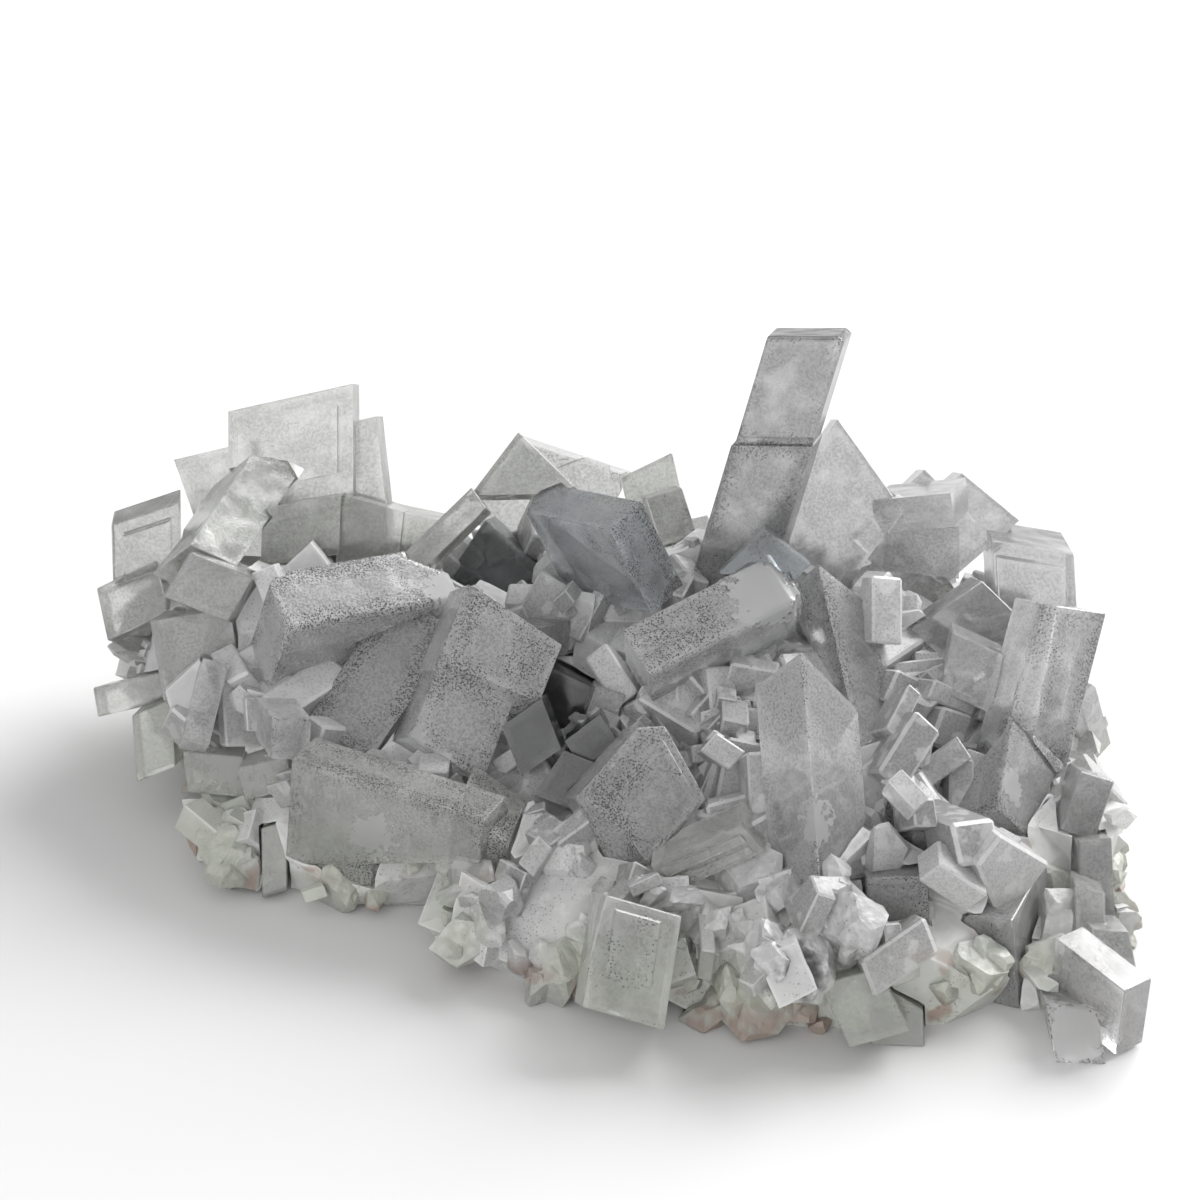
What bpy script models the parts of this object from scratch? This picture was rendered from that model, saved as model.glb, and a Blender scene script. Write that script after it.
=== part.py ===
"""Barite specimen: a cluster of blocky, tabular barite crystals on a lump of matrix rock.

The rock is a low mound cut flat underneath, where the specimen rests. The crystals stand in sockets
in the rock. Crystals that overlap are one solid, and neighbours that only touch keep a thin gap.
Lengths are in millimetres up to the last step, which scales everything to metres.
"""
import random
from math import cos, radians, sin

import bmesh
import bpy
from mathutils import Euler, Matrix, Vector, geometry, noise

# ---------------------------------------------------------------- driving dimensions, in millimetres
MM = 0.001
SPECIMEN = "barite_specimen"
GAP = 0.3                # space left between pieces that touch
LUMP_ROUGHNESS = 0.16    # how far the rock's lumps stray from an ellipsoid, as a share of its radius
LUMP_GRAIN = 0.11        # size of that unevenness, in waves per millimetre
LUMP_DETAIL = 2
FLOOR_WIDTH = 300.0
FLOOR_DEPTH = 40.0       # thickness of the cutter that makes the flat underside
CRUST_SEED = 41
VIEWER = Vector((0, -336, 209))            # eye point that the specimen's front is turned to
VIEW_CENTRE = Vector((0, 0, 30))
CRUST_CLEARANCE = 2.0    # how far small crystals keep off the sight of the larger ones

# ---------------------------------------------------------------- clean scene and collections
for old in list(bpy.data.objects):
    bpy.data.objects.remove(old, do_unlink=True)

pieces = bpy.data.collections.new(SPECIMEN)
cutters = bpy.data.collections.new(SPECIMEN + "_cutters")
bpy.context.scene.collection.children.link(pieces)
bpy.context.scene.collection.children.link(cutters)


# ---------------------------------------------------------------- materials
def finish(name, colour, roughness, transmission=0.0):
    """A Principled material with a linear colour."""
    material = bpy.data.materials.new(name)
    material.use_nodes = True
    shader = material.node_tree.nodes["Principled BSDF"]
    shader.inputs["Base Color"].default_value = (*colour, 1.0)
    shader.inputs["Roughness"].default_value = roughness
    shader.inputs["Metallic"].default_value = 0.0
    shader.inputs["IOR"].default_value = 1.64
    shader.inputs["Transmission Weight"].default_value = transmission
    material.diffuse_color = (*colour, 1.0)
    return material


GREY_CRYSTAL = finish("grey_crystal", (0.40, 0.41, 0.42), 0.25, 0.4)
PALE_CRYSTAL = finish("pale_crystal", (0.55, 0.56, 0.56), 0.25, 0.5)
GREEN_CRYSTAL = finish("green_grey_crystal", (0.46, 0.49, 0.44), 0.3, 0.5)
DARK_CRYSTAL = finish("dark_crystal", (0.16, 0.16, 0.18), 0.2, 0.3)
ROCK = finish("matrix_rock", (0.36, 0.36, 0.33), 0.75)


# ---------------------------------------------------------------- shapes
def slab(corner, turn, size, angle=90.0, facets=()):
    """A crystal: its corner, the turn of its edges in degrees, their lengths, the angle between the
    first two, and extra facets, each a direction and a reach along the crystal's own edges."""
    return {"corner": corner, "turn": turn, "size": size, "angle": angle, "facets": facets}


def stepped(base, shift, size, facets=()):
    """A crystal grown parallel to another one: its corner is shifted along that crystal's own axes."""
    turn = Euler([radians(value) for value in base["turn"]]).to_matrix()
    corner = Vector(base["corner"]) + turn @ Vector(shift)
    return slab(corner, base["turn"], size, base["angle"], facets)


def crystal_body(shape, grow=0.0):
    """The crystal as a bmesh, with every face moved outwards by grow."""
    body = bmesh.new()
    bmesh.ops.create_cube(body, size=1.0)
    length, width, depth = shape["size"]
    angle = radians(shape["angle"])
    side_grow = grow / sin(angle)
    for vert in body.verts:
        along = length / 2 + vert.co.x * (length + 2 * side_grow)
        across = width / 2 + vert.co.y * (width + 2 * side_grow)
        deep = depth / 2 + vert.co.z * (depth + 2 * grow)
        vert.co = Vector((along + across * cos(angle), across * sin(angle), deep))
    for direction, reach in shape["facets"]:
        normal = Vector(direction)
        far = (reach / normal.length + grow) * normal.normalized()
        cut = bmesh.ops.bisect_plane(body, geom=body.verts[:] + body.edges[:] + body.faces[:],
                                     plane_co=far, plane_no=normal, clear_outer=True)
        rim = [item for item in cut["geom_cut"] if isinstance(item, bmesh.types.BMEdge)]
        if rim:
            bmesh.ops.contextual_create(body, geom=rim)
    turn = Euler([radians(value) for value in shape["turn"]]).to_matrix().to_4x4()
    bmesh.ops.transform(body, matrix=Matrix.Translation(shape["corner"]) @ turn, verts=body.verts)
    bmesh.ops.recalc_face_normals(body, faces=body.faces)
    return body


def lump_body(centre, radii):
    """A rounded lump of rock: an ellipsoid with an uneven surface."""
    body = bmesh.new()
    bmesh.ops.create_icosphere(body, subdivisions=LUMP_DETAIL, radius=1.0)
    for vert in body.verts:
        place = Vector(centre) + Vector(vert.co[i] * radii[i] for i in range(3))
        swell = 1.0 + LUMP_ROUGHNESS * noise.noise(place * LUMP_GRAIN)
        vert.co = Vector(centre) + (place - Vector(centre)) * swell
    return body


def add_object(name, body, collection, material=None):
    """Makes an object of a bmesh, in a collection."""
    mesh = bpy.data.meshes.new(name)
    body.to_mesh(mesh)
    body.free()
    if material:
        mesh.materials.append(material)
    made = bpy.data.objects.new(name, mesh)
    collection.objects.link(made)
    return made


def add_cutter(name, body):
    """Makes an object that only cuts or joins: hidden, and drawn as wires."""
    made = add_object(name, body, cutters)
    made.hide_render = True
    made.display_type = "WIRE"
    return made


def boolean(target, operation, other):
    """Adds one exact Boolean with an object or with a whole collection."""
    step = target.modifiers.new(operation.lower(), "BOOLEAN")
    step.operation = operation
    step.solver = "EXACT"
    if isinstance(other, bpy.types.Collection):
        step.operand_type = "COLLECTION"
        step.collection = other
    else:
        step.object = other


def apply_modifiers(target):
    """Replaces an object's mesh by what its modifiers make of it, and keeps its largest body."""
    seen = target.evaluated_get(bpy.context.evaluated_depsgraph_get())
    body = bmesh.new()
    body.from_mesh(bpy.data.meshes.new_from_object(seen))
    target.modifiers.clear()
    shells = loose_shells(body)
    shells.sort(key=lambda faces: sum(face.calc_area() for face in faces))
    for shell in shells[:-1]:
        bmesh.ops.delete(body, geom=shell, context="FACES")
    bmesh.ops.delete(body, geom=[vert for vert in body.verts if not vert.link_faces], context="VERTS")
    body.to_mesh(target.data)
    body.free()


def loose_shells(body):
    """Sorts the faces into connected shells."""
    left = set(body.faces)
    shells = []
    while left:
        shell = [left.pop()]
        for face in shell:
            for edge in face.edges:
                found = [near for near in edge.link_faces if near in left]
                left.difference_update(found)
                shell.extend(found)
        shells.append(shell)
    return shells


# ---------------------------------------------------------------- crystals, one call for each piece
growths = []


def grow(name, material, *slabs):
    """Notes a piece: a crystal, or the crystals grown together in it."""
    growths.append((name, material, slabs))


# front of the left half
front_box = slab((-34.3, -17, 19), (-89, 4, -25), (24, 13.5, 6.5), 93,
                 [((0, -1, 1), 5.2), ((-1, 0, 1), 5.4), ((0.35, 1, 0), 14.3)])
grow("front_box", PALE_CRYSTAL, front_box,
     slab((-10.2, -26, 13.5), (57, 85, 134), (7.5, 7, 9), 118, [((-1, 0, -1), 0.6)]),
     stepped(front_box, (1.2, 10.5, 0.6), (9, 4, 5.5)))
stepped_blade = slab((-20.9, -15, 20.8), (-139, -45, 60), (17, 9.5, 9), 100, [((0, -1, -1), -0.9)])
grow("stepped_blade", GREY_CRYSTAL, stepped_blade,
     stepped(stepped_blade, (8.3, -0.5, -1.1), (10, 12.6, 9), [((0, -1, -1), -1), ((-1, 0, -1), -0.7)]),
     slab((-26, -11, 15.5), (146, -16, 152), (9, 18.5, 8), 90))
large_left_blade = slab((-35, -6, 29.5), (-64, 4, 28), (21.5, 13, 7.5), 92,
                        [((1, 0, 1.27), 26.5), ((-1, 0, 1), 6.6), ((0, -1, -1), -0.5)])
grow("large_left_blade", GREY_CRYSTAL, large_left_blade,
     stepped(large_left_blade, (3, 0.8, 1.5), (15, 11, 7.2)))
grow("small_left_box", GREY_CRYSTAL,
     slab((-36.5, -14, 22.5), (-95, 13, 21), (4.5, 5, 6), 83, [((-1, 0, -1), -0.4)]))
grow("left_front_prism", PALE_CRYSTAL,
     slab((-38.5, -14, 8), (-114, -16, 9), (3, 8, 7), 108))
grow("left_front_blocks", PALE_CRYSTAL,
     slab((-48, -6, 13.5), (-102, 4, -5), (7, 5, 6), 80),
     slab((-41.5, -9, 13), (-101, -16, -4), (6, 4, 6), 94))
grow("left_front_blade", GREY_CRYSTAL,
     slab((-45.5, -2, 23.5), (-134, 15, 5), (3, 10, 4), 94))

# left end
grow("left_edge_prism", GREEN_CRYSTAL,
     slab((-55, 3, 13), (-110, -23, 4), (5, 8, 7), 110))
grow("left_edge_bar", PALE_CRYSTAL,
     slab((-60, 7, 14.5), (-115, -15, -1), (9, 3.5, 8), 94, [((0, -1, 1), 7)]),
     slab((-60, 6.5, 10.5), (-114, -7, -3), (4.5, 2.5, 7), 84))
grow("left_edge_tablet", GREY_CRYSTAL,
     slab((-59, 14, 17), (157, -54, 112), (6.5, 8, 9), 78))
left_rim_block = slab((-58, 17, 31), (-95, -18, 5), (8.5, 8, 4.5), 110)
grow("left_rim_block", GREEN_CRYSTAL, left_rim_block,
     stepped(left_rim_block, (1, 1.5, -0.8), (6, 6, 4)))
grow("left_leaning_blade", GREEN_CRYSTAL,
     slab((-47.7, 9, 32.5), (-135, -20, 65), (16.5, 6.3, 10), 73, [((1, -0.7, 0), 15.5)]))
grow("grey_tablet", GREY_CRYSTAL,
     slab((-47.4, 6, 33), (-115, 18, -12), (8, 6, 9), 100))
back_left_plate = slab((-44.7, 28, 40.8), (-117, -14, -1), (15.6, 14, 4), 102)
grow("left_flank_blocks", GREY_CRYSTAL,
     slab((-52.5, 6, 24), (-111, -10, 0), (9.5, 9.5, 9), 91),
     slab((-60, 18, 22), (-109, -5, 0), (6, 7.5, 12), 90),
     slab((-54.5, -4, 17), (-112, 6, -4), (5.5, 7, 10), 80))
grow("front_rim_block", GREEN_CRYSTAL,
     slab((-29, -16, 4), (-111, 7, -4), (10, 7.5, 9), 57))
grow("back_left_plates", GREEN_CRYSTAL, back_left_plate,
     stepped(back_left_plate, (0.8, 2.2, -0.7), (12.5, 8, 4)),
     slab((-26.9, 27, 40.6), (-157, 63, -76), (14, 15, 3.5), 84),
     slab((-51.9, 30, 33.4), (-115, -16, -4), (10, 9, 4), 83))

# back of the middle
centre_prism = slab((1.1, 0, 39), (-40, 66, 2), (12, 17.2, 5.5), 92, [((0, 1, -0.6), 15.5)])
grow("back_left_blocks", GREEN_CRYSTAL,
     slab((-40, 17.5, 33), (-111, -10, 0), (9.5, 7, 8), 102),
     slab((-30.5, 19, 34), (-113, 13, -10), (7.5, 8.5, 9), 81),
     slab((-25, 19, 32), (-110, 9, -8), (6, 6.5, 7), 83))
grow("centre_prism", GREY_CRYSTAL, centre_prism,
     stepped(centre_prism, (0.8, 2.5, 0.8), (11, 12, 5.4)))
grow("back_wedge", GREEN_CRYSTAL,
     slab((-9.6, 19, 42.3), (-130, 32, -34), (12, 11, 5), 83, [((1, 1, 0), 10.5)]))
grow("back_inclined_blade", GREEN_CRYSTAL,
     slab((-15, 14, 37.5), (-135, 43, -38), (3, 11, 7), 81))
grow("back_rim_crystals", GREEN_CRYSTAL,
     slab((-5.5, 34, 30), (-118, -22, 8), (6, 12, 8), 97),
     slab((2.5, 32, 30), (-118, -24, 10), (7, 12, 9), 103))
grow("recess_slab", DARK_CRYSTAL,
     slab((-14, 26.5, 27), (-116, 33, -25), (12.5, 8, 6), 84))
grow("back_small_box", GREY_CRYSTAL,
     slab((5.5, 20, 33), (-114, -14, 12), (4.5, 6, 6), 90))

# recess in the middle
grow("recess_bar", PALE_CRYSTAL,
     slab((-7, -1, 27), (-98, 19, 60), (11.5, 4, 5), 90))
grow("recess_cube", PALE_CRYSTAL,
     slab((-0.5, -8, 23), (-110, 14, -2), (3.5, 3.5, 5), 95))
grow("recess_block", DARK_CRYSTAL,
     slab((-6.5, -1.5, 22.5), (-112, 22, -12), (9, 8, 7), 96))
grow("dark_tablet_left", DARK_CRYSTAL,
     slab((-6.5, -14, 25), (-136, 58, -47), (6, 5.5, 5), 76))
grow("dark_tablet_middle", DARK_CRYSTAL,
     slab((0, -14, 23), (-126, 51, -31), (4, 5, 5), 85))
grow("dark_tablet_low", DARK_CRYSTAL,
     slab((-4, -16, 19.5), (-114, 18, -13), (5, 6, 6), 102))
grow("dark_blade", DARK_CRYSTAL,
     slab((-5.5, -22, 7), (-113, -28, 19), (4, 8, 5), 102))

# front of the middle
centre_bar = slab((5.5, -14, 28), (-60, -18, 22), (19, 8, 6.5), 90,
                  [((0, -1, -1), -0.4), ((1, 0, -1), 18.4), ((1, -1, 0), 18.3)])
grow("centre_bar", GREY_CRYSTAL, centre_bar,
     stepped(centre_bar, (12.5, 0.7, 0.8), (7.2, 6.6, 6.2)))
grow("blue_tablet", DARK_CRYSTAL,
     slab((18.5, -2, 40), (-116, 34, -18), (6.5, 7, 5), 98))
front_tabular = slab((-2.5, -26, 19.5), (-128, -35, 37), (13, 11.5, 8), 108,
                     [((-1, 0, -1), -0.7), ((1, -1, 0), 10.2)])
grow("front_tabular", GREY_CRYSTAL, front_tabular,
     stepped(front_tabular, (2, 3, -0.6), (9, 8, 8)))
grow("front_ridge_blade", PALE_CRYSTAL,
     slab((23.5, -36.5, 15), (-24, 15, 40), (8, 7.5, 26), 90, [((0.87, 0.47, 1), 25)]))
grow("long_blade", GREY_CRYSTAL,
     slab((30.5, -16.5, 13.5), (-37, 15, 38), (7, 4, 29), 90,
          [((0.8, 0.27, 1), 27.5), ((-0.7, 0, -1), -5), ((1, -1, 0), 6.6)]))
striated_bar = slab((5.5, -32, 14.5), (-96, -29, -2), (11, 4, 6), 78)
grow("striated_bar", PALE_CRYSTAL, striated_bar,
     stepped(striated_bar, (0.9, 0.8, -0.6), (9.6, 1, 6)),
     stepped(striated_bar, (0.6, 2.5, -0.4), (10, 0.9, 6)))
foot_block = slab((0, -42, 17.5), (-123, 17, -3), (9, 12, 8), 83, [((-1, 0, -1), -0.8)])
grow("foot_block", PALE_CRYSTAL, foot_block,
     stepped(foot_block, (2, 1.2, -0.5), (5, 7, 8)))

# right side
grow("right_wedge", GREY_CRYSTAL,
     slab((44, -22, 15.5), (-46, 49, 23), (10, 9, 12), 90, [((0, 1, 0.75), 9)]))
grow("right_end_blade", GREY_CRYSTAL,
     slab((50.9, -5, 32), (-107, 21, 28), (8.3, 24, 6.5), 96, [((-1, 0, -1), -0.9)]))
grow("right_low_box", PALE_CRYSTAL,
     slab((44, -38, 11.4), (-71, 83, -5), (11.5, 5.5, 12.5), 90, [((-1, 1, 0), 4.8)]))
grow("right_foot_blade", PALE_CRYSTAL,
     slab((48.5, -40, 10.5), (151, 83, 98), (9, 4, 10.5), 86),
     slab((47, -45.5, 6), (-112, 8, -6), (5.5, 7, 9), 69))
grow("right_edge_wedge", GREY_CRYSTAL,
     slab((51.5, -20, 11.5), (-139, -61, 51), (7, 4, 6), 90))
grow("right_edge_column", PALE_CRYSTAL,
     slab((53, -24, 12.5), (-115, -6, 4), (3.5, 9, 8), 94))
grow("right_edge_blocks", PALE_CRYSTAL,
     slab((51.5, -31.5, 12), (-112, 17, -11), (3.5, 5.5, 7), 69),
     slab((53, -36, 9), (-111, 4, 0), (4, 6, 8), 74))
grow("right_rim_block", GREEN_CRYSTAL,
     slab((23, -46.5, 9), (-113, -15, 5), (6.5, 7.5, 9), 80),
     slab((28.5, -42, 7), (-114, 29, -16), (7, 9.5, 8), 54))
grow("right_front_box", GREY_CRYSTAL,
     slab((28.5, -36, 15.5), (-106, -1, 2), (6.5, 6.5, 6), 88))
grow("right_front_flake", DARK_CRYSTAL,
     slab((31, -28, 20), (-105, 34, -19), (7, 6, 2.5), 60))

# back of the right half
tall_blade = slab((19, 12, 57.5), (-103, -5, -12), (9, 37, 6), 108,
                  [((-1, -1.2, 0), 0.8), ((1, -1, 0), 8.2), ((0, -1, -1), -0.5)])
grow("tall_blade", GREY_CRYSTAL, tall_blade,
     stepped(tall_blade, (-4.4, 12.5, -0.5), (9.5, 24, 7)))
grow("back_right_peaks", PALE_CRYSTAL,
     slab((28, 20, 43.5), (-129, 48, -29), (13, 15, 8), 70),
     slab((39, 24, 35), (-125, 41, -23), (9, 12, 8), 90),
     slab((43.5, 24, 34.5), (-121, 36, -17), (9, 12, 8), 100))
grow("back_right_shelf", PALE_CRYSTAL,
     slab((32, 15.5, 35), (-103, -13, -15), (9.5, 4, 9), 92))
grow("back_right_box", GREY_CRYSTAL,
     slab((34, 20, 30), (-108, 4, -5), (9, 6, 9), 84))
back_right_slab = slab((46.5, 16, 29.5), (-102, 10, -1), (10, 12, 10), 75)
grow("back_right_slab", PALE_CRYSTAL, back_right_slab,
     stepped(back_right_slab, (0.8, 1.7, -0.7), (8.4, 8, 9)))
grow("clear_slab", PALE_CRYSTAL,
     slab((36, 2, 25), (-116, -29, 20), (10, 6.5, 6), 78))
grow("grey_slab", GREY_CRYSTAL,
     slab((40, -4, 28), (-108, 22, -11), (6.5, 7, 6), 76))
grow("right_recess_box", PALE_CRYSTAL,
     slab((37, -18, 16), (140, -42, 137), (3, 5.5, 5), 88))

# far side
grow("far_left_block", GREEN_CRYSTAL,
     slab((-34, 38, 24), (-62, 12, 158), (12, 11, 9), 102))
grow("far_middle_blade", GREY_CRYSTAL,
     slab((4, 42, 26), (-70, -16, 171), (15, 12, 6), 78))
grow("far_right_block", GREY_CRYSTAL,
     slab((38, 33, 22), (-58, 20, -168), (13, 10, 8), 102))


# ---------------------------------------------------------------- matrix rock
LUMPS = [                # centre and radii
    ((6, 10, 6), (30, 24, 19)),
    ((-38, 16, 12), (18, 16, 15)),
    ((-20, 6, 6), (24, 20, 16)),
    ((30, 12, 6), (25, 20, 18)),
    ((0, 26, 6), (28, 13, 16)),
    ((-24, -8, 5), (18, 12, 9)),
    ((2, -20, 3), (22, 18, 10)),
    ((28, -24, 4), (24, 20, 11)),
    ((47, -27, 1), (9, 12, 5)),
    ((46, -14, 4), (10, 12, 10)),
]
RECESS = ((-6, -4, 28), (9, 11, 13))       # hollow between the crystals, centre and radii

# close layer of small crystals on top of the rock, and finer ones round its sides
CRUST_START = (-60, -46)
CRUST_STEP = 7.6
CRUST_STRAY = 2.4        # how far they stray from even rows
CRUST_ROWS = 13
CRUST_COLUMNS = 16
CRUST_LOWEST = 8.0       # lowest height of rock that carries the close layer
CRUST_DEPTH = 1.5        # how deep their middles are sunk in the rock
SIDE_CRYSTALS = 26       # tries for each lump

# crust crystals that stand out, from the left end to the right
CRUST = [
    slab((-50.5, 0, 18), (-117, -37, 23), (5.5, 5.5, 6), 114),
    slab((-34, 12.5, 31), (-122, 47, -26), (5, 6, 5), 85),
    slab((-28, 11.5, 31), (-112, 22, -10), (4, 4, 5), 102),
    slab((-16, 9.5, 29), (-128, 57, -31), (3, 4, 4), 102),
    slab((-4.5, 9, 22), (-110, 5, -4), (7.5, 8, 8), 78),
    slab((-30.5, 1, 20), (-125, 54, -31), (4, 5, 5), 81),
    slab((-27.5, 2.5, 20), (-114, 33, -15), (4, 4, 5), 102),
    slab((-40.5, -3, 20), (-108, 15, -3), (4.5, 7.5, 5), 78),
    slab((13.5, -16, 20), (-115, 33, -16), (6, 7, 6), 79),
    slab((11, -12, 22), (-111, -14, 5), (6, 6, 6), 88),
    slab((15, -21.5, 16), (-111, -22, 11), (3, 3.5, 5), 99),
    slab((11, -15.5, 17), (-116, -36, 19), (3.5, 5.5, 5), 102),
    slab((30, -22.5, 17), (156, -43, 122), (6, 5, 5), 94),
    slab((31.5, 7, 25), (-109, 0, 2), (6, 3, 6), 81),
    slab((31.5, 3, 26), (-109, -7, 7), (5.5, 10.5, 6), 44),
    slab((33.5, 14.5, 30), (-116, 32, -17), (3.5, 3.5, 7), 107),
    slab((35, -10, 20), (-111, -17, 10), (3.5, 4.5, 4), 102),
    slab((38, -12, 19), (-111, -29, 12), (2.5, 3, 4), 79),
    slab((37, -33.5, 12), (-111, -35, 17), (5, 3, 5), 95),
    slab((36, -37, 8), (-113, -31, 15), (3.5, 5, 5), 102),
    slab((-6.5, -34.5, 4), (-111, -4, 3), (2.5, 4, 5), 94),
    slab((-12, -22.5, 4), (-109, 3, -3), (3.5, 3, 4), 87),
    slab((17, -34, 14), (-111, -17, 8), (10, 8.5, 9), 97),
    slab((11, -33.5, 11), (-111, -13, 6), (6.5, 7.5, 8), 91),
    slab((9.5, -36, 9), (-114, 24, -12), (6, 8, 8), 83),
    slab((26, -32, 15), (-110, -14, 7), (4.5, 7, 7), 95),
    slab((-48.5, -6, 7), (-111, -3, 0), (9.5, 7.5, 10), 79),
    slab((-18, -20, 5), (-111, 16, -9), (9, 7, 8), 61),
    slab((-7.5, -26.5, 6), (-113, 25, -11), (6, 7, 6), 60),
    slab((16.5, -48, 13), (-113, -24, 11), (4.5, 5.5, 8), 93),
    slab((-1, 7.5, 26), (-110, -15, 7), (6, 6, 8), 96),
    slab((6.5, 10, 30), (-111, -17, 7), (5.5, 8, 8), 91),
    slab((29.5, 30, 28), (-111, 22, -9), (6, 9, 8), 61),
    slab((46.5, -3.5, 24), (-110, -15, 6), (4, 6.5, 6), 102),
    slab((42.5, -31, 12), (-109, -20, 9), (2.5, 3.5, 5), 102),
]


def rock_top(x, y):
    """Height of the lumps at a place, or None outside them."""
    tops = []
    for centre, radii in LUMPS:
        left = 1 - ((x - centre[0]) / radii[0]) ** 2 - ((y - centre[1]) / radii[1]) ** 2
        if left > 0:
            tops.append(centre[2] + radii[2] * left ** 0.5)
    return max(tops) if tops else None


def in_recess(x, y):
    """Whether a place lies over the recess in the middle."""
    return ((x - RECESS[0][0]) / RECESS[1][0]) ** 2 + ((y - RECESS[0][1]) / RECESS[1][1]) ** 2 < 1


def inside_lumps(place, share):
    """Whether a point lies inside one of the lumps, shrunk to a share of its size."""
    for centre, radii in LUMPS:
        if sum(((place[i] - centre[i]) / radii[i]) ** 2 for i in range(3)) < share:
            return True
    return False


def sight(place):
    """A point as the viewer sees it: across, up, and its distance."""
    ahead = (VIEW_CENTRE - VIEWER).normalized()
    up = Vector((1, 0, 0)).cross(ahead)
    offset = Vector(place) - VIEWER
    distance = offset.dot(ahead)
    scale = (VIEW_CENTRE - VIEWER).length / distance
    return Vector((offset.x * scale, offset.dot(up) * scale)), distance


def sight_outlines():
    """Outline and middle distance of every large crystal, as the viewer sees them."""
    outlines = []
    for _, _, slabs in growths:
        for shape in slabs:
            body = crystal_body(shape)
            seen = [sight(vert.co) for vert in body.verts]
            body.free()
            ring = geometry.convex_hull_2d([point for point, _ in seen])
            distance = sum(away for _, away in seen) / len(seen)
            outlines.append(([seen[index][0] for index in ring], distance))
    return outlines


def hides_crystal(outlines, place):
    """Whether a small crystal would stand in the viewer's way of a larger one."""
    point, near = sight(place)
    for ring, distance in outlines:
        inside = all((end - start).cross(point - start) > -CRUST_CLEARANCE * (end - start).length
                     for start, end in zip(ring, ring[1:] + ring[:1]) if end != start)
        if near < distance and inside:
            return True
    return False


def tilted_slab(dice, middle, small, large):
    """A small crystal of random size and turn around a point."""
    size = Vector([dice.uniform(small, large), dice.uniform(small, large), dice.uniform(small, large) * 0.7])
    turn = [dice.uniform(0, 360) for _ in range(3)]
    reach = Euler([radians(value) for value in turn]).to_matrix() @ (size / 2)
    return slab(middle - reach, turn, size, dice.choice([78, 90, 102]))


def crust_slabs():
    """Small crystals over the whole rock: a close layer on top, and a finer one round the sides."""
    dice = random.Random(CRUST_SEED)
    outlines = sight_outlines()
    made = []
    for row in range(CRUST_ROWS):
        for column in range(CRUST_COLUMNS):
            x = CRUST_START[0] + CRUST_STEP * column + dice.uniform(-CRUST_STRAY, CRUST_STRAY)
            y = CRUST_START[1] + CRUST_STEP * row + dice.uniform(-CRUST_STRAY, CRUST_STRAY)
            top = rock_top(x, y)
            if not top or top < CRUST_LOWEST or in_recess(x, y):
                continue
            place = Vector((x, y, top - CRUST_DEPTH))
            if not hides_crystal(outlines, place):
                made.append(tilted_slab(dice, place, 5, 9))
    for centre, radii in LUMPS:
        for _ in range(SIDE_CRYSTALS):
            out = Vector((dice.uniform(-1, 1), dice.uniform(-1, 1), dice.uniform(-0.3, 0.6))).normalized()
            place = Vector(centre) + Vector(out[i] * radii[i] for i in range(3))
            bare = place.z > 1.5 and not inside_lumps(place, 0.85)
            if bare and not hides_crystal(outlines, place):
                made.append(tilted_slab(dice, place, 3.5, 6.5))
    return made


def build_rock():
    """Joins the lumps and their crust, and sinks a socket for every crystal."""
    rock = add_object("matrix_rock", lump_body(*LUMPS[0]), pieces, ROCK)
    joined = bpy.data.collections.new("rock_parts")
    cutters.children.link(joined)
    for index, lump in enumerate(LUMPS[1:]):
        made = add_cutter("lump_%d" % index, lump_body(*lump))
        cutters.objects.unlink(made)
        joined.objects.link(made)
    for index, shape in enumerate(CRUST + crust_slabs()):
        made = add_cutter("crust_%d" % index, crystal_body(shape))
        cutters.objects.unlink(made)
        joined.objects.link(made)
    boolean(rock, "UNION", joined)
    boolean(rock, "DIFFERENCE", add_cutter("recess", lump_body(*RECESS)))
    boolean(rock, "DIFFERENCE", sockets)
    boolean(rock, "DIFFERENCE", floor)
    apply_modifiers(rock)
    return rock


# ---------------------------------------------------------------- build
sockets = bpy.data.collections.new("sockets")
cutters.children.link(sockets)
floor_body = bmesh.new()
bmesh.ops.create_cube(floor_body, size=1.0)
for vert in floor_body.verts:
    vert.co = Vector((vert.co.x * FLOOR_WIDTH, vert.co.y * FLOOR_WIDTH, (vert.co.z - 0.5) * FLOOR_DEPTH))
floor = add_cutter("floor", floor_body)


def reach_box(body):
    """Lowest and highest corner of a bmesh."""
    low = Vector(min(vert.co[i] for vert in body.verts) for i in range(3))
    high = Vector(max(vert.co[i] for vert in body.verts) for i in range(3))
    return low, high


def boxes_meet(one, other):
    """Whether two boxes overlap."""
    return all(one[0][i] < other[1][i] and other[0][i] < one[1][i] for i in range(3))


earlier = []             # sockets made so far, with their boxes: later crystals give way to them
for name, material, slabs in growths:
    first = crystal_body(slabs[0])
    box = reach_box(first)
    crystal = add_object(name, first, pieces, material)
    for index, shape in enumerate(slabs[1:]):
        part = crystal_body(shape)
        low, high = reach_box(part)
        box = (Vector(map(min, box[0], low)), Vector(map(max, box[1], high)))
        boolean(crystal, "UNION", add_cutter("%s_part_%d" % (name, index), part))
    for socket, socket_box in earlier:
        if boxes_meet(box, socket_box):
            boolean(crystal, "DIFFERENCE", socket)
    if box[0].z < 0:
        boolean(crystal, "DIFFERENCE", floor)
    apply_modifiers(crystal)
    for index, shape in enumerate(slabs):
        hollow = crystal_body(shape, GAP)
        hollow_box = reach_box(hollow)
        socket = add_cutter("%s_socket_%d" % (name, index), hollow)
        cutters.objects.unlink(socket)
        sockets.objects.link(socket)
        earlier.append((socket, hollow_box))

build_rock()

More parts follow.
